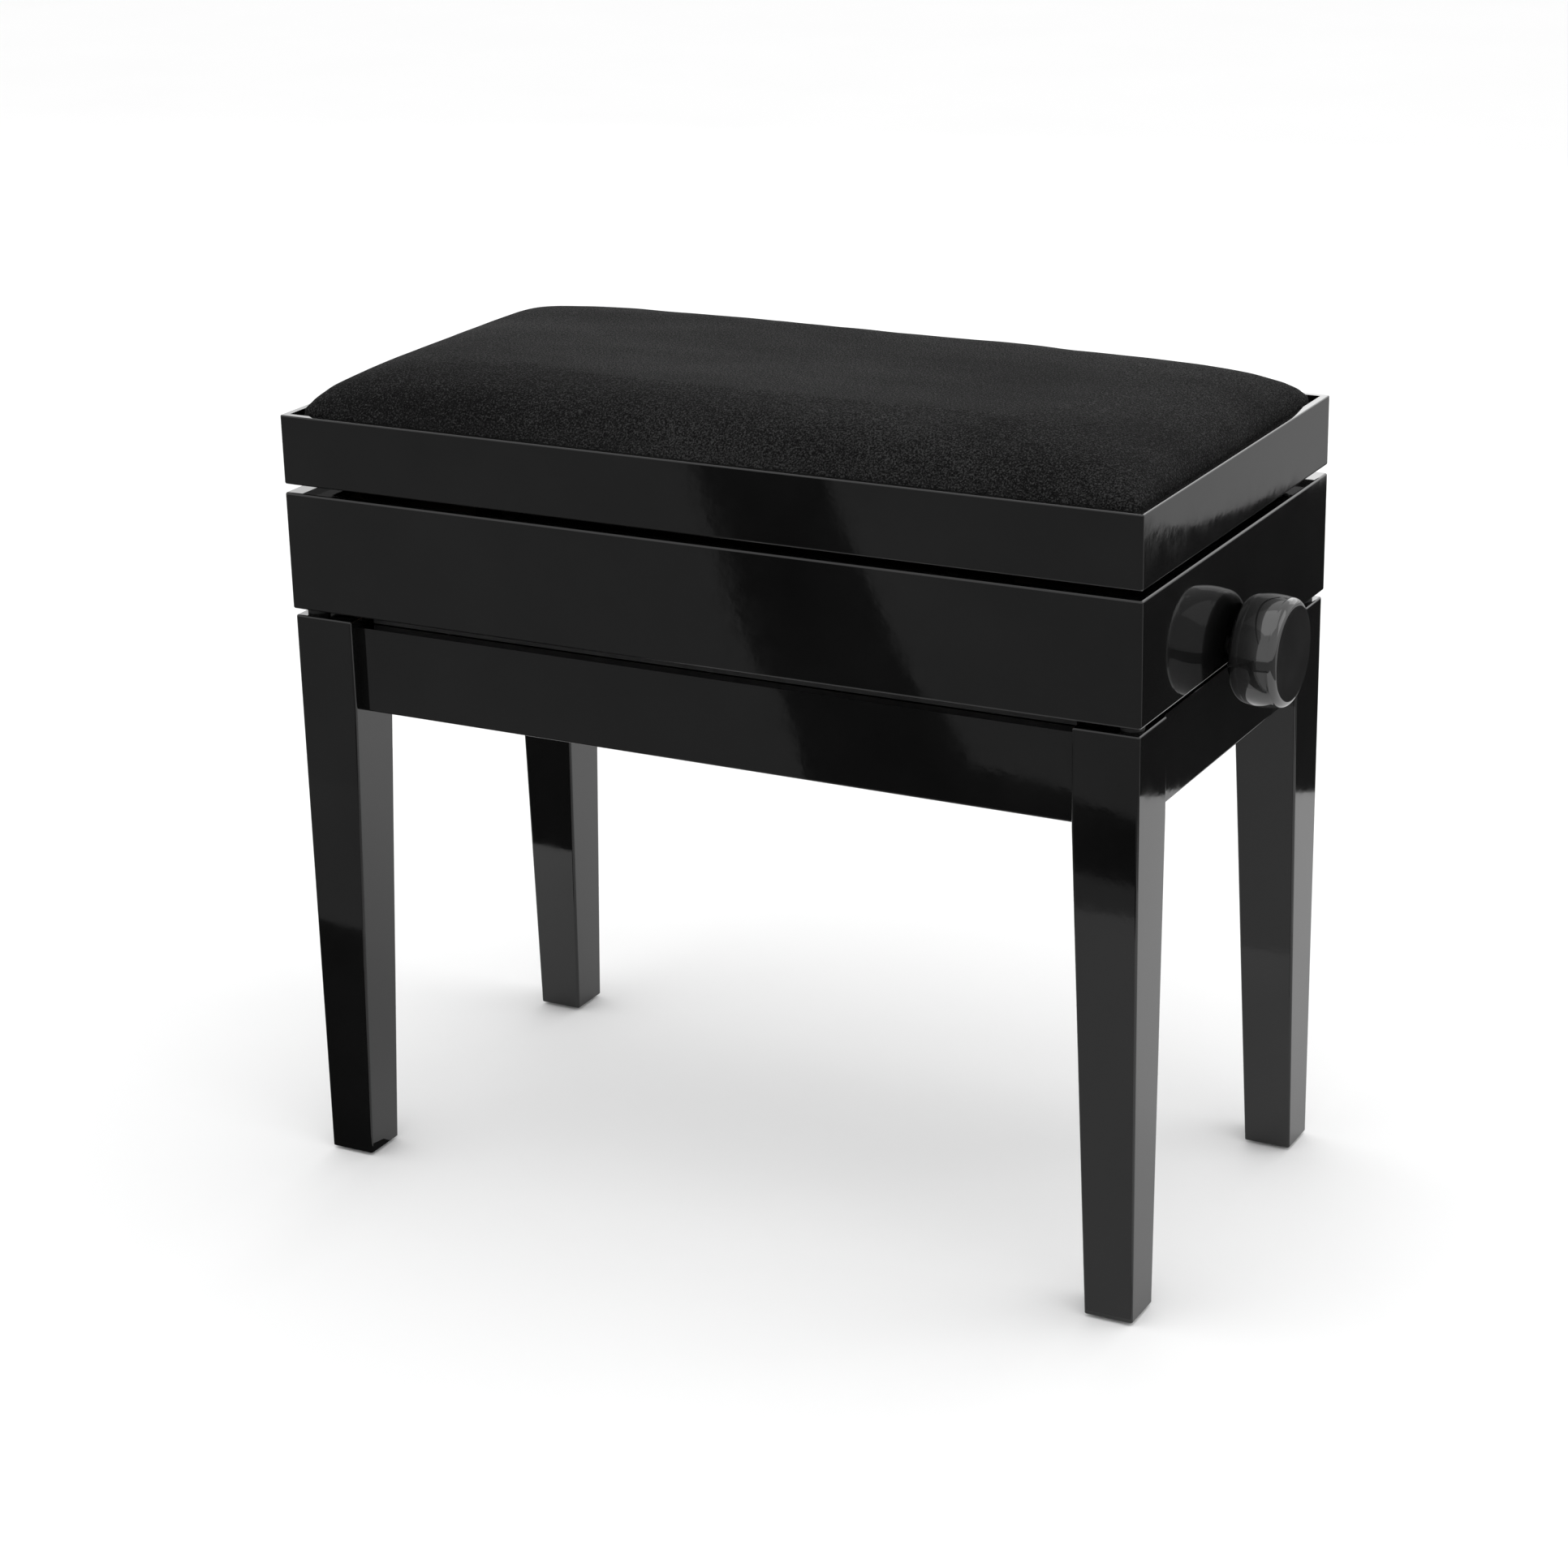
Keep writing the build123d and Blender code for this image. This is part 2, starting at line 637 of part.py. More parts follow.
def make_base_mechanism():
    channels = channel_web(tray_top, 385.0, spindle_height, tray_top, channel_bolts, 2.5)
    save(channels, "base_channels")
    make_cross_bar("base_crossbar", left_pivot_x, spindle_height, screwed_bar_radius,
                   outer_arm_face - arm_thickness - 0.4, True)
    make_bar_washers("base_bar_washers", left_pivot_x, spindle_height, False)

    with BuildPart() as bolts:
        with BuildSketch(Plane.XY.offset(tray_bottom - 5.0)):
            with Locations(*channel_bolts):
                Circle(2.5)
        extrude(amount=5.0 + tray_thickness + channel_thickness)
        with BuildSketch(Plane.XY.offset(tray_top + channel_thickness)):
            with Locations(*channel_bolts):
                Circle(4.6)
        extrude(amount=2.8)
        fillet(bolts.edges().group_by(Axis.Z)[-1], radius=1.6)
    with BuildPart() as nuts:
        with BuildSketch(Plane.XY.offset(tray_bottom - 4.0)):
            with Locations(*channel_bolts):
                RegularPolygon(4.0, 6, major_radius=False)
                Circle(2.5, mode=Mode.SUBTRACT)
        extrude(amount=4.0)
    save(Compound(bolts.part.solids() + nuts.part.solids()), "channel_bolts")

    with BuildPart() as bush:
        add_rod_x(0, spindle_height, spindle_radius + 1.0, case_inner_x, half_width)
        add_rod_x(0, spindle_height, 8.5, half_width, half_width + 1.4)
        add_rod_x(0, spindle_height, spindle_radius + pin_clearance, case_inner_x, half_width + 2, Mode.SUBTRACT)
    save(bush.part, "spindle_bush")


def make_case():
    for side in ("front", "back", "left", "right"):
        make_case_rail(side)
    make_case_inside()
    make_base_mechanism()


# ---- Scissor arms and lead screw ----------------------------------------------------------------
def arm_plane(left_x, left_z, angle, far_face):
    """Plane on an arm's far face, x along the arm, looking to the front."""
    return Plane(origin=(left_x, far_face, left_z), x_dir=(cos(radians(angle)), 0, sin(radians(angle))),
                 z_dir=(0, -1, 0))


def make_arms():
    """Outer arms rise to the right, inner arms fall to the right; they cross at mid length."""
    for place, sy in (("front", -1), ("back", 1)):
        y_high = outer_arm_face if sy > 0 else -outer_arm_face + arm_thickness
        with BuildPart() as outer:
            with BuildSketch(arm_plane(left_pivot_x, spindle_height, arm_rest_angle, y_high)):
                with Locations((arm_length / 2, 0)):
                    SlotCenterToCenter(arm_length, arm_width)
                with Locations((0, 0)):
                    Circle(pin_radius + pin_clearance, mode=Mode.SUBTRACT)
                with Locations((arm_length / 2, 0), (arm_length, 0)):
                    Circle(pin_radius, mode=Mode.SUBTRACT)
            extrude(amount=arm_thickness)
        save(outer.part, f"outer_arm_{place}")

        y_high = inner_arm_face if sy > 0 else -inner_arm_face + arm_thickness
        with BuildPart() as inner:
            with BuildSketch(arm_plane(left_pivot_x, upper_pivot_z, -arm_rest_angle, y_high)):
                with Locations((arm_length / 2, 0)):
                    SlotCenterToCenter(arm_length, arm_width)
                with Locations((0, 0), (arm_length / 2, 0), (arm_length, 0)):
                    Circle(pin_radius + pin_clearance, mode=Mode.SUBTRACT)
            extrude(amount=arm_thickness)
        save(inner.part, f"inner_arm_{place}")

    middle_z = (spindle_height + upper_pivot_z) / 2
    with BuildPart() as rivets:
        for sy in sides:
            for radius, low, high in ((pin_radius, inner_arm_face - arm_thickness - 0.3, outer_arm_face),
                                      (7.0, inner_arm_face - arm_thickness - 2.3, inner_arm_face - arm_thickness - 0.3),
                                      (7.0, outer_arm_face, outer_arm_face + 2.0)):
                y0, y1 = (low, high) if sy > 0 else (-high, -low)
                add_rod_y(0, middle_z, radius, y0, y1)
    save(rivets.part, "arm_rivets")

    make_cross_bar("slide_crossbar", right_pivot_x, upper_pivot_z, bar_radius,
                   outer_arm_face - arm_thickness, False)
    make_bar_washers("slide_bar_washers", right_pivot_x, upper_pivot_z, False)
    make_cross_bar("nut_crossbar", right_pivot_x, spindle_height, screwed_bar_radius,
                   inner_arm_face - arm_thickness - 0.4, True)
    make_bar_washers("nut_bar_washers", right_pivot_x, spindle_height, True)


def make_lead_screw():
    collar, play = 8.0, 0.3
    with BuildPart() as spindle:
        add_rod_x(0, spindle_height, spindle_radius, left_pivot_x - screwed_bar_radius - 13.0, knob_bore_end)
        chamfer(spindle.edges(), length=0.8)
    save(spindle.part, "spindle")

    with BuildPart() as collars:
        for low in (left_pivot_x - screwed_bar_radius - play - collar, left_pivot_x + screwed_bar_radius + play):
            add_rod_x(0, spindle_height, 9.0, low, low + collar)
        chamfer(collars.edges(), length=0.6)
        add_rod_x(0, spindle_height, spindle_radius, -half_width, half_width, Mode.SUBTRACT)
    save(collars.part, "thrust_collars")

    back_round, front_round = 8.0, 4.8
    half_turn = sqrt(0.5)
    rim_back = spindle_height + knob_radius - 0.8
    rim_front = spindle_height + knob_face_radius + front_round
    middle = (knob_back + knob_front) / 2
    with BuildPart() as knob:
        with BuildSketch(Plane.XZ):
            with BuildLine():
                Polyline((knob_front, rim_front - front_round), (knob_front, spindle_height),
                         (knob_back + 1.2, spindle_height), (knob_back + 1.2, spindle_height + 10.5),
                         (knob_back, spindle_height + 11.5), (knob_back, rim_back - back_round))
                ThreePointArc((knob_back, rim_back - back_round),
                              (knob_back + back_round * (1 - half_turn), rim_back - back_round * (1 - half_turn)),
                              (knob_back + back_round, rim_back))
                ThreePointArc((knob_back + back_round, rim_back), (middle + 1, spindle_height + knob_radius),
                              (knob_front - front_round, rim_front))
                ThreePointArc((knob_front - front_round, rim_front),
                              (knob_front - front_round * (1 - half_turn), rim_front - front_round * (1 - half_turn)),
                              (knob_front, rim_front - front_round))
            make_face()
        revolve(axis=Axis((0, 0, spindle_height), (1, 0, 0)))
        add_rod_x(0, spindle_height, spindle_radius + 0.02, knob_back, knob_bore_end, Mode.SUBTRACT)
    save(knob.part, "knob")


# ---- Seat ---------------------------------------------------------------------------------------
def make_seat_rail(side):
    """Rail with a ledge for the cushion board and a thin lip around the cushion."""
    with BuildPart() as rail:
        with BuildSketch(Plane.XY.offset(seat_bottom)):
            RectangleRounded(bench_width, bench_depth, rail_corner)
            Rectangle(2 * seat_inner_x, 2 * seat_inner_y, mode=Mode.SUBTRACT)
        extrude(amount=seat_top - seat_bottom)
        with BuildSketch(Plane.XY.offset(ledge_height)):
            Rectangle(2 * lip_inner_x, 2 * lip_inner_y)
        extrude(amount=seat_top - ledge_height, mode=Mode.SUBTRACT)
        fillet(outline_edges(rail, seat_bottom), radius=1.4)
        fillet(outline_edges(rail, seat_top), radius=lip_edge)
        with BuildSketch(Plane.XY.offset(seat_bottom)):
            Polygon(*mitre_wedge(side), align=None)
        extrude(amount=seat_top - seat_bottom, mode=Mode.INTERSECT)
    save(rail.part, f"seat_rail_{side}")


seat_screws = [(x, sy * 106.5) for x in (-155.0, 20.0, 170.0) for sy in sides]


def make_cushion():
    """Pad with upright sides, rounded shoulders and a crowned top."""
    shoulder_z = cushion_crown - 7.0

    def profile(half):
        with BuildLine() as outline:
            Polyline((-half, shoulder_z), (-half, board_top), (half, board_top), (half, shoulder_z))
            ThreePointArc((half, shoulder_z), (0, cushion_crown), (-half, shoulder_z))
        make_face(outline.edges())

    half_x, half_y = lip_inner_x - cushion_gap, lip_inner_y - cushion_gap
    with BuildPart() as cushion:
        with BuildSketch(Plane.XZ.offset(-half_y)) as long_side:
            profile(half_x)
            fillet(long_side.vertices().group_by(Axis.Y)[-1], radius=cushion_shoulder)
        extrude(amount=2 * half_y)
        with BuildSketch(Plane.YZ.offset(-half_x)) as short_side:
            profile(half_y)
            fillet(short_side.vertices().group_by(Axis.Y)[-1], radius=cushion_shoulder)
        extrude(amount=2 * half_x, mode=Mode.INTERSECT)
        with BuildSketch(Plane.XY.offset(board_top)):
            RectangleRounded(2 * half_x, 2 * half_y, cushion_corner)
        extrude(amount=cushion_crown - board_top, mode=Mode.INTERSECT)
    save(cushion.part, "cushion")


def make_seat():
    for side in ("front", "back", "left", "right"):
        make_seat_rail(side)

    block = 28.0
    with BuildPart() as blocks:
        for sx, sy in corners:
            with BuildSketch(Plane.XY.offset(seat_block_bottom)):
                Polygon((sx * seat_inner_x, sy * seat_inner_y), (sx * (seat_inner_x - block), sy * seat_inner_y),
                        (sx * seat_inner_x, sy * (seat_inner_y - block)), align=None)
            extrude(amount=ledge_height - seat_block_bottom)
    save(blocks.part, "seat_corner_blocks")

    with BuildPart() as board:
        with BuildSketch(Plane.XY.offset(ledge_height)):
            Rectangle(2 * (lip_inner_x - cushion_gap), 2 * (lip_inner_y - cushion_gap))
            with Locations(*seat_screws):
                Circle(2.0, mode=Mode.SUBTRACT)
        extrude(amount=board_thickness)
    save(board.part, "cushion_board")

    foot_z = ledge_height - channel_thickness
    save(channel_web(upper_pivot_z - 10.0, ledge_height, upper_pivot_z, foot_z, seat_screws, 2.0), "seat_channels")
    with BuildPart() as screws:
        with BuildSketch(Plane.XY.offset(foot_z)):
            with Locations(*seat_screws):
                Circle(2.0)
        extrude(amount=channel_thickness + board_thickness)
        with BuildSketch(Plane.XY.offset(foot_z)):
            with Locations(*seat_screws):
                Circle(4.0)
        extrude(amount=-2.2)
    save(screws.part, "seat_channel_screws")
    make_cross_bar("seat_crossbar", left_pivot_x, upper_pivot_z, bar_radius,
                   inner_arm_face - arm_thickness - 0.4, False)
    make_bar_washers("seat_bar_washers", left_pivot_x, upper_pivot_z, True)
    make_cushion()


make_stand()
make_lower_leaves()
make_upper_leaves()
make_hinge_pins()
make_hinge_screws()
make_stay("lid_stay_left", -1)
make_stay("lid_stay_right", 1)
make_stay_fasteners()
make_case()
make_arms()
make_lead_screw()
make_seat()

print("left pivot x", round(left_pivot_x, 3), "right pivot x", round(right_pivot_x, 3))
print("upper pivot z", round(upper_pivot_z, 3), "lift", round(lift_travel, 2))
print("nut travel", round(arm_reach - raised_reach, 3))
print("stay pin", stay_pin, "stay pivot", stay_pivot, "closed", stay_closed, "open", stay_open)
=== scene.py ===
import json
import math

import bmesh
import bpy
import numpy as np
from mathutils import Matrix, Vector, noise


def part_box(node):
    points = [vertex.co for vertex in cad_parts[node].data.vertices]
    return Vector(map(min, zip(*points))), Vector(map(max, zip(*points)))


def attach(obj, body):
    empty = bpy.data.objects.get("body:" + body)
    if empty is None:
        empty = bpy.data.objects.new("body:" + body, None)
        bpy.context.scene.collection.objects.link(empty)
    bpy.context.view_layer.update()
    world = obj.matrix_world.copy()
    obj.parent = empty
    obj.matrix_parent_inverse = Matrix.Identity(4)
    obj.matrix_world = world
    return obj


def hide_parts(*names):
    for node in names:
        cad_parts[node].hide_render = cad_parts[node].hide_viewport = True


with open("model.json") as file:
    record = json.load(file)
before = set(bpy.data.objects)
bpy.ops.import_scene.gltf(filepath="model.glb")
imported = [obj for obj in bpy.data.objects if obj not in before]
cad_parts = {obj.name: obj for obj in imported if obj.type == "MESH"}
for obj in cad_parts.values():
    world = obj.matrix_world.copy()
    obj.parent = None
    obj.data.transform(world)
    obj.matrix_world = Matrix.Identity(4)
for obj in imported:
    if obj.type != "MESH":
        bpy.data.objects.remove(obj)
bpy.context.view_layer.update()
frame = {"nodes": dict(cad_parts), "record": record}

nodes = frame["nodes"]
tiny = 1e-9


# ---- Node helpers ---------------------------------------------------------------------------

class Shader:
    """A material built from nodes, with the wiring kept short.

    Noise and wave scales are in cells per metre, bump distances in metres, and colours linear.
    A colour given as one number is a grey.
    """

    def __init__(self, name):
        self.material = bpy.data.materials.new(name)
        self.material.use_nodes = True
        self.tree = self.material.node_tree
        self.tree.nodes.clear()
        self.out = self.tree.nodes.new("ShaderNodeOutputMaterial")
        self.bsdf = self.tree.nodes.new("ShaderNodeBsdfPrincipled")
        self.link(self.bsdf.outputs[0], self.out.inputs[0])
        self.coords = self.tree.nodes.new("ShaderNodeTexCoord")

    def link(self, source, target):
        self.tree.links.new(source, target)

    def set(self, **values):
        for key, value in values.items():
            self.bsdf.inputs[key.replace("_", " ")].default_value = value

    def wire(self, key, source):
        self.link(source, self.bsdf.inputs[key])

    def stretched(self, scale):
        """Object coordinates stretched by a factor along each axis."""
        node = self.tree.nodes.new("ShaderNodeMapping")
        node.inputs["Scale"].default_value = scale
        self.link(self.coords.outputs["Object"], node.inputs["Vector"])
        return node.outputs[0]

    def noise(self, scale, detail=3.0, rough=0.5, vector=None):
        node = self.tree.nodes.new("ShaderNodeTexNoise")
        node.inputs["Scale"].default_value = scale
        node.inputs["Detail"].default_value = detail
        node.inputs["Roughness"].default_value = rough
        self.link(vector or self.coords.outputs["Object"], node.inputs["Vector"])
        return node.outputs["Fac"]

    def wave(self, scale, distortion, vector, detail=3.0, detail_scale=1.0, axis="X"):
        node = self.tree.nodes.new("ShaderNodeTexWave")
        node.bands_direction = axis
        node.inputs["Scale"].default_value = scale
        node.inputs["Distortion"].default_value = distortion
        node.inputs["Detail"].default_value = detail
        node.inputs["Detail Scale"].default_value = detail_scale
        self.link(vector, node.inputs["Vector"])
        return node.outputs["Fac"]

    def ramp(self, source, stops):
        node = self.tree.nodes.new("ShaderNodeValToRGB")
        elements = node.color_ramp.elements
        while len(elements) < len(stops):
            elements.new(0.5)
        for element, (position, colour) in zip(elements, stops):
            element.position = position
            element.color = (*colour, 1) if isinstance(colour, tuple) else (colour, colour, colour, 1)
        self.link(source, node.inputs[0])
        return node.outputs[0]

    def between(self, source, low, high, start=0.3, end=0.7):
        """Runs from low to high as the source runs from start to end, where a noise mostly lies."""
        node = self.tree.nodes.new("ShaderNodeMapRange")
        node.inputs["From Min"].default_value = start
        node.inputs["From Max"].default_value = end
        node.inputs["To Min"].default_value = low
        node.inputs["To Max"].default_value = high
        self.link(source, node.inputs["Value"])
        return node.outputs[0]

    def blend(self, first, first_share, second, second_share):
        """The sum of two values, each times its share."""
        shares = []
        for value, share in ((first, first_share), (second, second_share)):
            scaled = self.tree.nodes.new("ShaderNodeMath")
            scaled.operation = "MULTIPLY"
            self.link(value, scaled.inputs[0])
            scaled.inputs[1].default_value = share
            shares.append(scaled.outputs[0])
        total = self.tree.nodes.new("ShaderNodeMath")
        total.operation = "ADD"
        self.link(shares[0], total.inputs[0])
        self.link(shares[1], total.inputs[1])
        return total.outputs[0]

    def tinted(self, colour, tint, strength):
        """A colour darkened by a tint."""
        node = self.tree.nodes.new("ShaderNodeMix")
        node.data_type = "RGBA"
        node.blend_type = "MULTIPLY"
        node.inputs["Factor"].default_value = strength
        self.link(colour, node.inputs["A"])
        self.link(tint, node.inputs["B"])
        return node.outputs["Result"]

    def bump(self, height, distance, strength=1.0, below=None):
        node = self.tree.nodes.new("ShaderNodeBump")
        node.inputs["Strength"].default_value = strength
        node.inputs["Distance"].default_value = distance
        self.link(height, node.inputs["Height"])
        if below:
            self.link(below, node.inputs["Normal"])
        return node.outputs[0]


# ---- Materials ------------------------------------------------------------------------------

def lacquer():
    """Black polyester lacquer, polished: a mirror with a faint long ripple and fine polishing haze."""
    s = Shader("black_lacquer")
    s.set(IOR=1.52)
    s.wire("Base Color", s.ramp(s.noise(18, detail=4), [(0.3, 0.0020), (0.7, 0.0036)]))
    s.wire("Roughness", s.between(s.noise(55, detail=5, rough=0.6), 0.025, 0.07))
    ripple = s.bump(s.noise(6, detail=0.4), 0.0013)
    s.wire("Normal", s.bump(s.noise(140, detail=2), 0.000010, below=ripple))
    return s.material


def board_paint():
    """Thin matt black stain over board, with the wood fibre showing through."""
    s = Shader("black_panel")
    s.set(IOR=1.45)
    fibre = s.noise(60, detail=6, rough=0.65, vector=s.stretched((0.5, 9.0, 9.0)))
    s.wire("Base Color", s.ramp(fibre, [(0.35, 0.008), (0.7, 0.026)]))
    s.wire("Roughness", s.between(s.noise(120, detail=4), 0.38, 0.62))
    s.wire("Normal", s.bump(fibre, 0.00015))
    return s.material


def beech_wood():
    """Planed beech: pale, straight grain with short dark flecks."""
    s = Shader("beech")
    s.set(IOR=1.46)
    along_grain = s.stretched((1.0, 7.0, 7.0))
    rings = s.wave(14, 5.0, along_grain, detail_scale=1.4, axis="Y")
    tone = s.blend(rings, 0.65, s.noise(9, detail=5), 0.5)
    colour = s.ramp(tone, [(0.2, (0.50, 0.30, 0.16)), (0.6, (0.62, 0.41, 0.24)), (0.95, (0.43, 0.25, 0.13))])
    flecks = s.noise(260, detail=2, vector=s.stretched((0.35, 2.2, 2.2)))
    fleck_tint = s.ramp(flecks, [(0.30, (0.45, 0.40, 0.36)), (0.42, (1.0, 1.0, 1.0))])
    s.wire("Base Color", s.tinted(colour, fleck_tint, 0.7))
    s.wire("Roughness", s.between(rings, 0.46, 0.62, 0.0, 1.0))
    s.wire("Normal", s.bump(flecks, 0.00012))
    return s.material


def ply_wood():
    """Birch plywood: figured faces, and its veneers showing as bands on the edges."""
    s = Shader("plywood")
    s.set(IOR=1.46)
    figure = s.wave(6, 9.0, s.stretched((1.0, 3.2, 3.2)), detail_scale=0.8, axis="Y")
    colour = s.ramp(figure, [(0.1, (0.58, 0.42, 0.26)), (0.5, (0.68, 0.52, 0.34)), (0.9, (0.50, 0.34, 0.20))])
    veneers = s.wave(98, 0.4, s.stretched((0.02, 0.02, 1.0)), axis="Z")
    veneer_tint = s.ramp(veneers, [(0.35, (0.62, 0.56, 0.50)), (0.65, (1.0, 1.0, 1.0))])
    s.wire("Base Color", s.tinted(colour, veneer_tint, 0.6))
    s.wire("Roughness", s.between(figure, 0.52, 0.7, 0.0, 1.0))
    fibre = s.noise(240, detail=3, rough=0.6, vector=s.stretched((0.3, 3.0, 3.0)))
    s.wire("Normal", s.bump(fibre, 0.0001))
    return s.material


def velvet_cloth():
    """Short-pile black velvet: speckled nap with brushed patches and a soft sheen."""
    s = Shader("velvet")
    s.set(IOR=1.12, Roughness=0.9, Sheen_Weight=0.018, Sheen_Roughness=0.4, Sheen_Tint=(0.95, 0.95, 0.97, 1))
    pile = s.noise(1000, detail=3, rough=0.7)
    brushed = s.noise(9, detail=4, rough=0.55, vector=s.stretched((0.6, 1.4, 1.0)))
    tone = s.blend(pile, 0.85, brushed, 0.20)
    s.wire("Base Color", s.ramp(tone, [(0.41, 0.0010), (0.52, 0.0068), (0.64, 0.0450)]))
    tufts = s.bump(pile, 0.0016)
    s.wire("Normal", s.bump(brushed, 0.0012, strength=0.6, below=tufts))
    return s.material


def zinc():
    """Zinc-plated steel strip: brushed along its length, slightly warm and cloudy."""
    s = Shader("zinc_steel")
    s.set(Metallic=1.0, Anisotropic=0.35)
    cloud = s.noise(34, detail=4, rough=0.6)
    plating = [(0.3, (0.44, 0.45, 0.47)), (0.6, (0.58, 0.58, 0.57)), (0.8, (0.52, 0.51, 0.47))]
    s.wire("Base Color", s.ramp(cloud, plating))
    brush = s.noise(700, detail=2, vector=s.stretched((0.08, 2.0, 2.0)))
    s.wire("Roughness", s.between(brush, 0.26, 0.42, 0.25, 0.75))
    s.wire("Normal", s.bump(brush, 0.000010))
    return s.material


def enamel():
    """Black stoved enamel on steel: fine orange peel, a little duller in patches."""
    s = Shader("black_steel")
    s.set(IOR=1.5)
    blacks = [(0.35, (0.009, 0.009, 0.010)), (0.7, (0.022, 0.022, 0.023))]
    s.wire("Base Color", s.ramp(s.noise(45, detail=5, rough=0.6), blacks))
    s.wire("Roughness", s.between(s.noise(90, detail=4), 0.26, 0.44))
    s.wire("Normal", s.bump(s.noise(620, detail=2), 0.00006))
    return s.material


def hinge_brass():
    """Drawn brass hinge strip, lightly tarnished."""
    s = Shader("brass")
    s.set(Metallic=1.0)
    tarnish = s.noise(70, detail=5, rough=0.65)
    yellows = [(0.3, (0.60, 0.43, 0.17)), (0.6, (0.68, 0.50, 0.21)), (0.85, (0.72, 0.54, 0.25))]
    s.wire("Base Color", s.ramp(tarnish, yellows))
    drawn = s.noise(700, detail=2, vector=s.stretched((0.08, 2.0, 2.0)))
    s.wire("Roughness", s.between(drawn, 0.26, 0.38, 0.25, 0.75))
    s.wire("Normal", s.bump(drawn, 0.000008))
    return s.material


def bumper_rubber():
    """Moulded black rubber with a dusty bloom."""
    s = Shader("black_rubber")
    s.set(IOR=1.5, Specular_IOR_Level=0.35)
    bloom = s.noise(160, detail=4, rough=0.6)
    s.wire("Base Color", s.ramp(bloom, [(0.3, 0.010), (0.75, 0.030)]))
    s.wire("Roughness", s.between(bloom, 0.66, 0.88))
    s.wire("Normal", s.bump(s.noise(900, detail=2), 0.00008))
    return s.material


def glide_nylon():
    """Matt black nylon with grey scuffs."""
    s = Shader("nylon")
    s.set(IOR=1.53)
    scuff = s.noise(300, detail=4, rough=0.7, vector=s.stretched((1.0, 0.3, 1.0)))
    s.wire("Base Color", s.ramp(scuff, [(0.40, 0.012), (0.75, 0.055)]))
    s.wire("Roughness", s.between(scuff, 0.42, 0.66))
    s.wire("Normal", s.bump(scuff, 0.00006))
    return s.material


def knob_plastic():
    """Polished black plastic: high gloss over a slight unevenness."""
    s = Shader("knob_gloss")
    s.set(IOR=1.7)
    s.wire("Base Color", s.ramp(s.noise(60), [(0.3, 0.010), (0.7, 0.015)]))
    s.wire("Roughness", s.between(s.noise(130, detail=4, rough=0.6), 0.03, 0.085))
    s.wire("Normal", s.bump(s.noise(22, detail=1), 0.0003))
    return s.material


finishes = {
    "black_lacquer": lacquer(),
    "black_panel": board_paint(),
    "beech": beech_wood(),
    "plywood": ply_wood(),
    "velvet": velvet_cloth(),
    "zinc_steel": zinc(),
    "black_steel": enamel(),
    "brass": hinge_brass(),
    "black_rubber": bumper_rubber(),
    "nylon": glide_nylon(),
    "knob_gloss": knob_plastic(),
}
slot_of = {part["node"]: part["material_slot"] for part in frame["record"]["subparts"]}
for name, piece in nodes.items():
    piece.data.materials.clear()
    piece.data.materials.append(finishes[slot_of[name]])


# ---- Seat pad -------------------------------------------------------------------------------

pad_low, pad_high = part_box("cushion")
rim_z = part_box("seat_rail_front")[1].z
start_gap = Vector((0.0006, 0.0014, 0.0003))    # the pad starts this far inside its CAD solid
pad_half_x = pad_high.x - start_gap.x
pad_half_y = pad_high.y - start_gap.y
pad_base_z = pad_low.z + start_gap.z
pad_corner = 0.006         # plan radius of the pad's corners
edge_drop = 0.0020         # the welt line sits this far below the frame's top edge
crown = 0.0292             # dome height over the welt line before stuffing
cells_x, cells_y = 136, 70
wall_rings = 3

# The dome is a power curve each way. A high flatness keeps the top level until close to the edge,
# and a low slope makes the last of the fall steep.
end_flatness, end_slope = 4.9, 0.295
side_flatness, side_slope = 10.6, 1.5
corner_steepening = 1.05   # comes off the side slope towards the pad's ends
corner_reach = 6           # the higher, the nearer the ends that sets in

voxel = 0.005
held_below = 0.004         # the cover is held from this far under the frame's top edge
air_pressure = 4
cover_tension = 12
cover_bending = 2
cloth_frames = 20
stuffing_cap = 0.0026      # furthest the stuffing pushes the cover
swell_evening = 26         # passes that spread the swelling, as foam under the cover does
kept_share = 0.4           # share of its own swelling that a point keeps in each pass

slack_rise = 0.012         # the cover's slack grows to its full size over this height
long_slack, long_slack_scale = 0.0005, 14
short_slack, short_slack_scale = 0.00025, 45
cad_margin = 0.0001        # the finished pad stays this far inside its CAD solid


def dome_height(u, v):
    """Share of the crown at a place on the pad; u and v run from -1 to 1 between its edges."""
    along = max(0.0, 1 - abs(u) ** end_flatness) ** end_slope
    slope = side_slope - corner_steepening * abs(u) ** corner_reach
    return along * max(0.0, 1 - abs(v) ** side_flatness) ** slope


def inside_outline(x, y):
    """Pulls a point of the square grid in to the rounded plan outline."""
    ax, ay = abs(x), abs(y)
    cx, cy = pad_half_x - pad_corner, pad_half_y - pad_corner
    if ax > cx and ay > cy:
        dx, dy = ax - cx, ay - cy
        reach = max(dx, dy)
        length = math.hypot(dx, dy)
        if length > tiny:
            ax, ay = cx + dx * reach / length, cy + dy * reach / length
    return math.copysign(ax, x), math.copysign(ay, y)


def towards_edges(index, count):
    """Grid lines from -1 to 1, closer together near both ends."""
    return math.sin(math.pi / 2 * (2 * index / count - 1))


def read_points(mesh):
    points = np.zeros(len(mesh.vertices) * 3, np.float32)
    mesh.vertices.foreach_get("co", points)
    return points.reshape(-1, 3).astype(float)


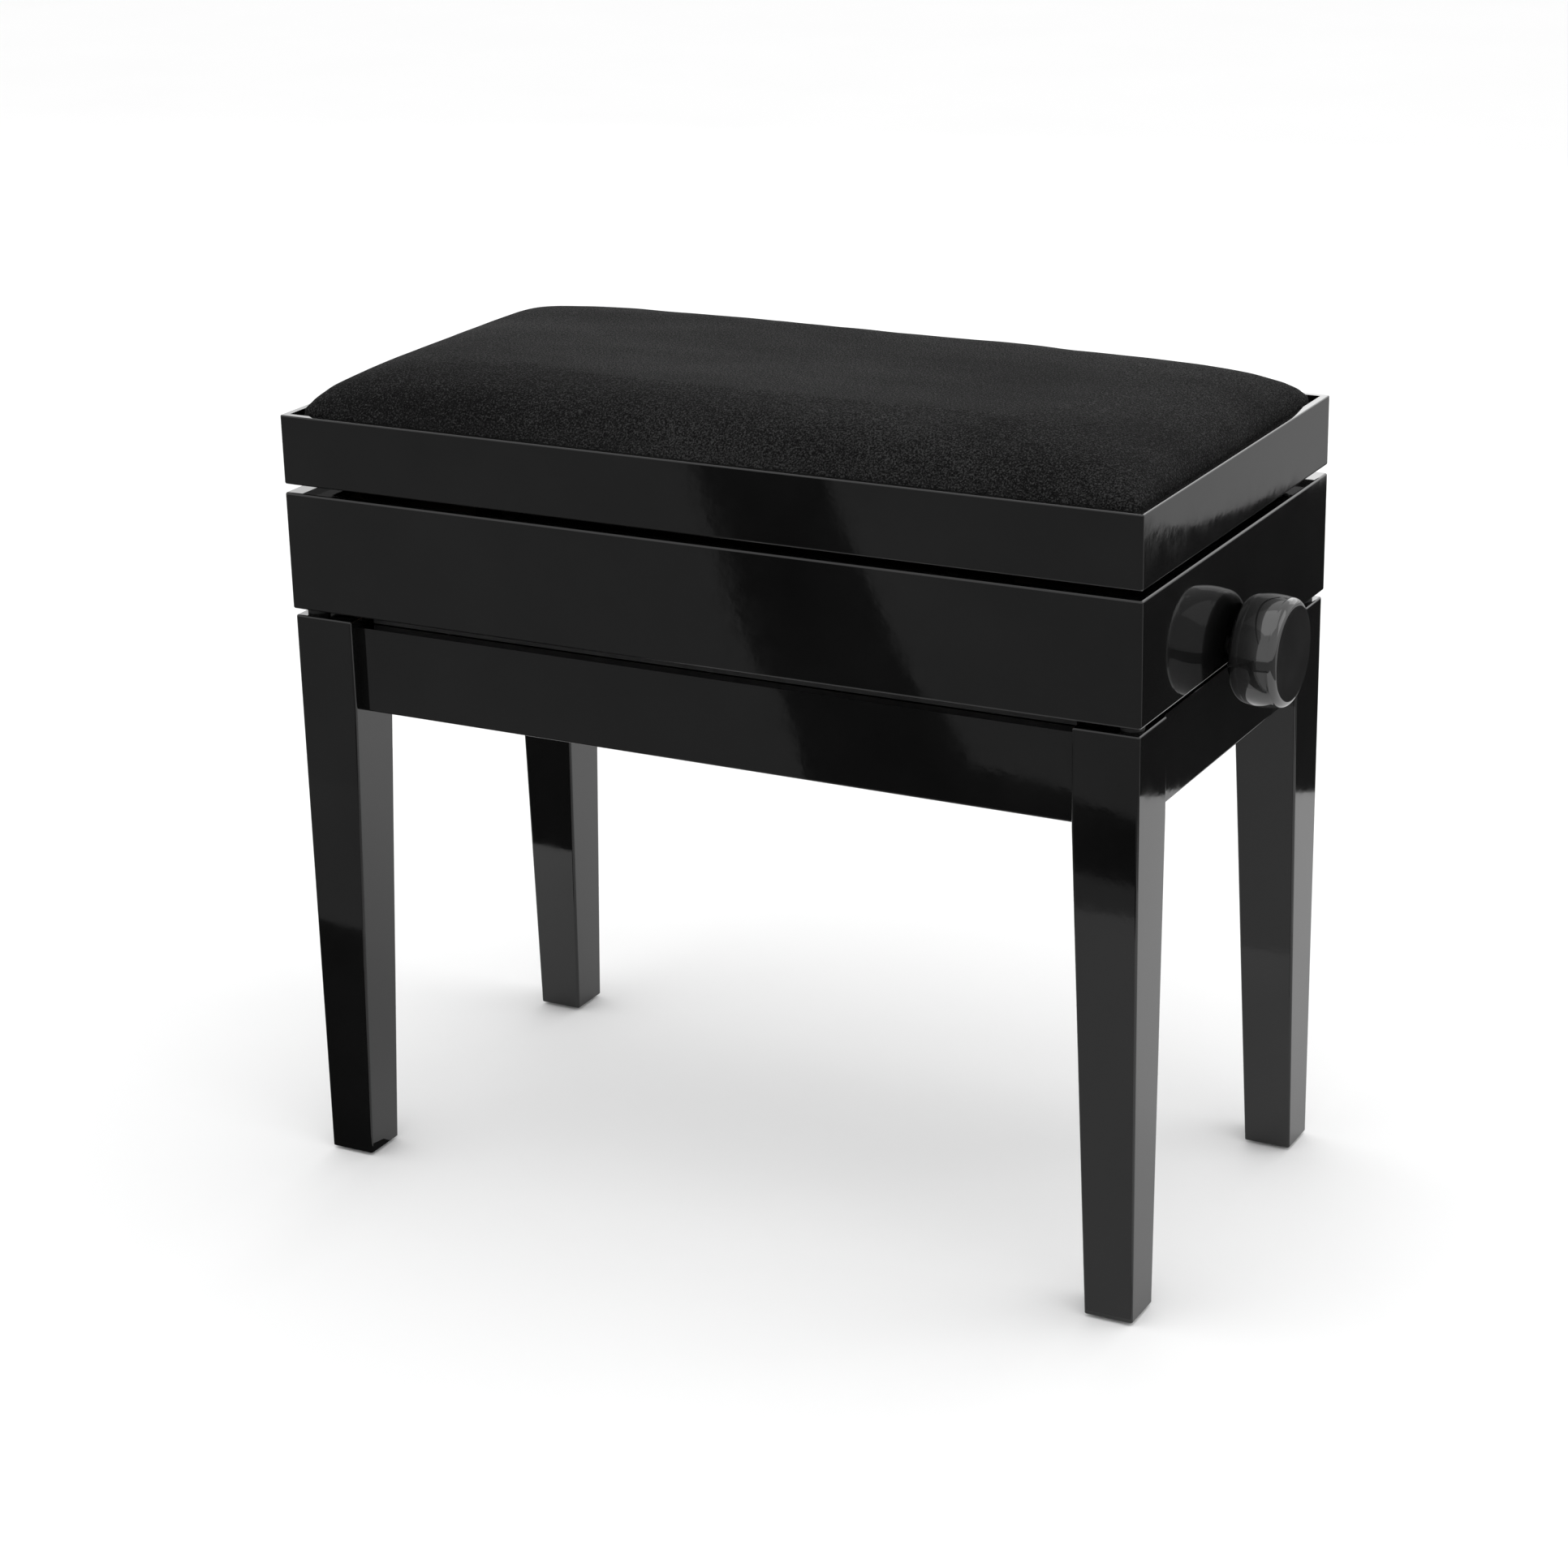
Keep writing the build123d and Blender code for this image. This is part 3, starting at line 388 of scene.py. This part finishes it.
def border_of(grid):
    """The outer loop of a grid of vertices, in order."""
    last_row, last = len(grid) - 1, len(grid[0]) - 1
    return ([grid[0][i] for i in range(last)]
            + [grid[j][last] for j in range(last_row)]
            + [grid[last_row][i] for i in range(last, 0, -1)]
            + [grid[j][0] for j in range(last_row, 0, -1)])


def new_object(name, bm):
    """Turns a bmesh into an object in the scene."""
    mesh = bpy.data.meshes.new(name)
    bm.to_mesh(mesh)
    bm.free()
    obj = bpy.data.objects.new(name, mesh)
    bpy.context.scene.collection.objects.link(obj)
    return obj


def make_pad():
    """A closed form: domed top, upright sides below the frame's edge, flat underside on the board."""
    bm = bmesh.new()
    top, under = [], []
    for j in range(cells_y + 1):
        top.append([])
        under.append([])
        v = towards_edges(j, cells_y)
        for i in range(cells_x + 1):
            u = towards_edges(i, cells_x)
            x, y = inside_outline(u * pad_half_x, v * pad_half_y)
            top[j].append(bm.verts.new((x, y, rim_z - edge_drop + crown * dome_height(u, v))))
            under[j].append(bm.verts.new((x, y, pad_base_z)))
    for j in range(cells_y):
        for i in range(cells_x):
            for grid in (top, under):
                bm.faces.new((grid[j][i], grid[j][i + 1], grid[j + 1][i + 1], grid[j + 1][i]))
    rings = [border_of(top)]
    for ring in range(1, wall_rings):
        share = ring / wall_rings
        lowered = []
        for point in rings[0]:
            x, y, z = point.co
            lowered.append(bm.verts.new((x, y, z + (pad_base_z - z) * share)))
        rings.append(lowered)
    rings.append(border_of(under))
    for above, below in zip(rings, rings[1:]):
        for k in range(len(above)):
            n = (k + 1) % len(above)
            bm.faces.new((above[n], above[k], below[k], below[n]))
    bmesh.ops.recalc_face_normals(bm, faces=bm.faces)
    return new_object("seat_pad", bm)


def stuff(pad):
    """Cloth simulation: air pressure swells the cover, and the swelling is capped and evened out."""
    bpy.context.view_layer.objects.active = pad
    remesh = pad.modifiers.new("remesh", "REMESH")
    remesh.mode = "VOXEL"
    remesh.voxel_size = voxel
    bpy.ops.object.modifier_apply(modifier=remesh.name)
    held = pad.vertex_groups.new(name="held")
    held.add([v.index for v in pad.data.vertices if v.co.z < rim_z - held_below], 1.0, "REPLACE")
    before = read_points(pad.data)
    cloth = pad.modifiers.new("cloth", "CLOTH")
    cloth.settings.use_pressure = True
    cloth.settings.uniform_pressure_force = air_pressure
    cloth.settings.vertex_group_mass = "held"
    cloth.settings.tension_stiffness = cover_tension
    cloth.settings.bending_stiffness = cover_bending
    cloth.settings.effector_weights.gravity = 0
    scene = bpy.context.scene
    scene.frame_start, scene.frame_end = 1, cloth_frames
    for number in range(1, cloth_frames + 1):
        scene.frame_set(number)
    bpy.ops.object.modifier_apply(modifier=cloth.name)
    swell = read_points(pad.data) - before
    length = np.maximum(np.linalg.norm(swell, axis=1), tiny)
    swell *= np.minimum(1.0, stuffing_cap / length)[:, None]
    pad.data.vertices.foreach_set("co", (before + evened(swell, pad.data)).astype(np.float32).ravel())
    pad.data.update()
    scene.frame_set(1)


def evened(swell, mesh):
    """Averages each point's swelling with its neighbours', a few times over."""
    ends = np.zeros(len(mesh.edges) * 2, np.int32)
    mesh.edges.foreach_get("vertices", ends)
    first, second = ends[0::2], ends[1::2]
    degree = np.bincount(ends, minlength=len(swell))[:, None]
    for _ in range(swell_evening):
        total = np.zeros_like(swell)
        np.add.at(total, first, swell[second])
        np.add.at(total, second, swell[first])
        swell = kept_share * swell + (1 - kept_share) * total / degree
    return swell


def finish_pad(pad):
    """A finer mesh, slack in the cover, and the pad kept inside its CAD solid."""
    bpy.context.view_layer.objects.active = pad
    finer = pad.modifiers.new("finer", "SUBSURF")
    finer.levels = finer.render_levels = 1
    bpy.ops.object.modifier_apply(modifier=finer.name)
    for vertex in pad.data.vertices:
        co = vertex.co
        share = min(1.0, max(0.0, (co.z - rim_z) / slack_rise))
        co.z += (long_slack * share * noise.noise(co * long_slack_scale)
                 + short_slack * share * noise.noise(co * short_slack_scale))
        for axis in range(3):
            co[axis] = min(max(co[axis], pad_low[axis] + cad_margin), pad_high[axis] - cad_margin)
    for face in pad.data.polygons:
        face.use_smooth = True


pad = make_pad()
stuff(pad)
finish_pad(pad)
pad.data.materials.append(finishes["velvet"])
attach(pad, "seat")
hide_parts("cushion")


# ---- Lead screw -----------------------------------------------------------------------------

thread_pitch = 0.004
thread_depth = 0.0011
groove_half = 0.25         # half the groove's width, as a share of the pitch
flank_slope = 6.4          # how steeply the flanks fall into the groove
thread_fade = 0.002        # the thread starts this far in, and runs in and out over this length
past_arm = 0.045           # the thread stops this far past the front inner arm
end_chamfer, chamfer_length = 0.0008, 0.0009
rod_clearance = 0.00002    # keeps the mesh inside the CAD rod
facets = 28
rows_per_turn = 8


def make_lead_screw():
    """The spindle with its rolled thread, cut as one helical surface with plain ends."""
    low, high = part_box("spindle")
    centre_y, centre_z = (low.y + high.y) / 2, (low.z + high.z) / 2
    outer = (high.y - low.y) / 2 - rod_clearance
    plain_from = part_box("inner_arm_front")[1].x + past_arm
    rows = int((high.x - low.x) / (thread_pitch / rows_per_turn))
    bm = bmesh.new()
    rings = []
    for row in range(rows + 1):
        x = low.x + (high.x - low.x) * row / rows
        run_in = max(0.0, (x - low.x - thread_fade) / thread_fade)
        run_out = max(0.0, (plain_from - x) / thread_fade)
        threaded = min(1.0, run_in, run_out)
        end_cut = end_chamfer * max(0.0, 1 - min(x - low.x, high.x - x) / chamfer_length)
        ring = []
        for k in range(facets):
            angle = 2 * math.pi * k / facets
            phase = (x / thread_pitch - k / facets) % 1.0
            groove = min(1.0, max(0.0, (groove_half - abs(phase - 0.5)) * flank_slope))
            radius = outer - thread_depth * groove * threaded - end_cut
            y, z = centre_y + radius * math.cos(angle), centre_z + radius * math.sin(angle)
            ring.append(bm.verts.new((x, y, z)))
        rings.append(ring)
    for first, second in zip(rings, rings[1:]):
        for k in range(facets):
            n = (k + 1) % facets
            bm.faces.new((first[k], first[n], second[n], second[k])).smooth = True
    bm.faces.new(rings[0])
    bm.faces.new(list(reversed(rings[-1])))
    bmesh.ops.recalc_face_normals(bm, faces=bm.faces)
    screw = new_object("threaded_spindle", bm)
    screw.data.materials.append(finishes[slot_of["spindle"]])
    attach(screw, "lead_screw")
    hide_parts("spindle")


make_lead_screw()


# ---- Stage ----------------------------------------------------------------------------------

floor_radius = 14.0

# Glowing sheets that paint reflections into the lacquer: the pale floor (the paper) shows under the bench,
# painted grey studio round it, a painted lit backdrop, and painted dark patches in place of flags. Only
# reflections see them. A raised sheet covers a low one.
low, middle, raised = 0.0006, 0.0008, 0.0009
paper_left, paper_front, paper_right, paper_back = -0.75, -0.72, 0.95, 0.76
studio_reach = 4.0
backdrop_near, backdrop_far = 1.42, 6.0
near_left, near_right, near_back = -0.20, 0.32, -0.15
foot_front, foot_back = -0.46, -0.12
# Outlines of painted dark reflections: dim glowing sheets in place of flags, seen only in the lacquer.
side_dark_patch = [(paper_left, 1.10), (0.30, 0.84), (0.80, 0.58), (0.90, 1.42), (0.76, 1.85), (paper_left, 1.85)]
bent_dark_patch = [(-1.05, -1.95), (-0.90, -1.95), (-0.20, -0.94), (0.50, -0.80), (0.50, -0.73), (-0.28, -0.80)]
# Glow strengths of the painted reflections.
grey, left_grey, near_white, backdrop_glow = 0.28, 0.30, 0.64, 0.60
foot_dark, side_dark, band_dark = 0.04, 0.03, 0.035
wall_glow = 2.0
wall_place = 3.4


def card(name, corners, strength, height):
    """A glowing sheet lying on the floor that only reflections see: a painted reflection, not a lamp."""
    mesh = bpy.data.meshes.new(name)
    mesh.from_pydata([(x, y, height) for x, y in corners], [], [list(range(len(corners)))])
    obj = bpy.data.objects.new(name, mesh)
    bpy.context.scene.collection.objects.link(obj)
    material = bpy.data.materials.new(name)
    material.use_nodes = True
    tree = material.node_tree
    tree.nodes.clear()
    out = tree.nodes.new("ShaderNodeOutputMaterial")
    glow = tree.nodes.new("ShaderNodeEmission")
    glow.inputs["Color"].default_value = (1, 1, 1, 1)
    glow.inputs["Strength"].default_value = strength
    tree.links.new(glow.outputs[0], out.inputs[0])
    obj.data.materials.append(material)
    obj.visible_camera = False
    obj.visible_diffuse = False
    obj.visible_shadow = False
    obj.visible_transmission = False
    return obj


def rectangle(x_from, y_from, x_to, y_to):
    return [(x_from, y_from), (x_to, y_from), (x_to, y_to), (x_from, y_to)]


def ring_card(name, inner, outer, strength, height):
    """Four strips round an open rectangle."""
    (ax, ay, bx, by), (cx, cy, dx, dy) = inner, outer
    card(name + "_front", rectangle(cx, cy, dx, ay), strength, height)
    card(name + "_back", rectangle(cx, by, dx, dy), strength, height)
    card(name + "_left", rectangle(cx, ay, ax, by), strength, height)
    card(name + "_right", rectangle(bx, ay, dx, by), strength, height)


# Glowing sheets, each a painted reflection: grey, white or dark by its glow strength.
def make_cards():
    ring_card("grey_card", (paper_left, paper_front, paper_right, paper_back),
              (-studio_reach, -studio_reach, studio_reach, backdrop_near), grey, low)
    card("near_card", rectangle(near_left, paper_front, near_right, near_back), near_white, low)
    card("left_card", rectangle(paper_left, paper_front, near_left, foot_front), left_grey, low)
    # Painted dark reflection in the front of the legs.
    foot_dark_patch = [(paper_left, foot_front), (-0.27, foot_front), (near_left, -0.30),
                 (-0.24, foot_back), (paper_left, foot_back)]
    card("foot_card", foot_dark_patch, foot_dark, raised)
    card("side_card", side_dark_patch, side_dark, raised)
    card("far_card", rectangle(-studio_reach, backdrop_near, studio_reach, backdrop_far), backdrop_glow, low)
    card("right_card", rectangle(0.75, 0.60, studio_reach, backdrop_near), backdrop_glow, middle)
    card("dark_band", bent_dark_patch, band_dark, raised)
    # An upright glowing sheet behind the bench: a painted reflection that puts bright highlights along the
    # lacquer's edges.
    wall = card("wall_card", rectangle(-5.0, 0.6, 2.0, 2.6), wall_glow, 0.0)
    wall.rotation_euler = (math.radians(90), 0, 0)
    wall.location = (0, wall_place, 0)


def make_floor():
    bm = bmesh.new()
    bmesh.ops.create_circle(bm, cap_ends=True, radius=floor_radius, segments=96)
    floor = new_object("floor", bm)
    s = Shader("studio_floor")
    s.set(Specular_IOR_Level=0.1)
    s.wire("Base Color", s.ramp(s.noise(3, detail=4), [(0.3, 0.895), (0.7, 0.905)]))
    s.wire("Roughness", s.between(s.noise(40), 0.8, 0.95))
    floor.data.materials.append(s.material)


def area_light(name, place, aim, size, watts):
    data = bpy.data.lights.new(name, "AREA")
    data.shape = "RECTANGLE"
    data.size, data.size_y = size
    data.energy = watts
    lamp = bpy.data.objects.new(name, data)
    lamp.location = place
    lamp.rotation_euler = (Vector(aim) - Vector(place)).to_track_quat("-Z", "Y").to_euler()
    bpy.context.scene.collection.objects.link(lamp)


def make_light():
    world = bpy.data.worlds.new("studio")
    world.use_nodes = True
    background = world.node_tree.nodes["Background"]
    background.inputs["Color"].default_value = (1, 1, 1, 1)
    background.inputs["Strength"].default_value = 1.08
    bpy.context.scene.world = world
    area_light("top_soft", place=(0.3, -0.4, 2.6), aim=(0, 0, 0.3), size=(2.2, 2.2), watts=12)
    area_light("right_soft", place=(2.4, 0.9, 1.7), aim=(0, 0, 0.3), size=(1.6, 1.6), watts=9)
    area_light("back_soft", place=(-0.6, 3.2, 1.4), aim=(0, 0, 0.4), size=(3.0, 1.6), watts=12)


# ---- Camera ---------------------------------------------------------------------------------

camera_place = Vector((0.976, -1.845, 0.997))
camera_yaw = math.radians(28.34)
camera_pitch = math.radians(-19.86)
camera_roll = math.radians(-1.31)
lens_mm = 82.5
sensor_mm = 36.0


def make_camera():
    data = bpy.data.cameras.new("camera")
    data.lens = lens_mm
    data.sensor_width = sensor_mm
    data.sensor_fit = "HORIZONTAL"
    data.clip_start = 0.05
    camera = bpy.data.objects.new("camera", data)
    forward = Vector((-math.sin(camera_yaw) * math.cos(camera_pitch),
                      math.cos(camera_yaw) * math.cos(camera_pitch), math.sin(camera_pitch)))
    level = Vector((math.cos(camera_yaw), math.sin(camera_yaw), 0))
    upright = level.cross(forward)
    right = level * math.cos(camera_roll) + upright * math.sin(camera_roll)
    up = upright * math.cos(camera_roll) - level * math.sin(camera_roll)
    matrix = camera.matrix_world.copy()
    for row in range(3):
        matrix[row][0] = right[row]
        matrix[row][1] = up[row]
        matrix[row][2] = -forward[row]
        matrix[row][3] = camera_place[row]
    camera.matrix_world = matrix
    bpy.context.scene.collection.objects.link(camera)
    bpy.context.scene.camera = camera


make_floor()
make_cards()
make_light()
make_camera()
bpy.context.scene.view_settings.view_transform = "Standard"
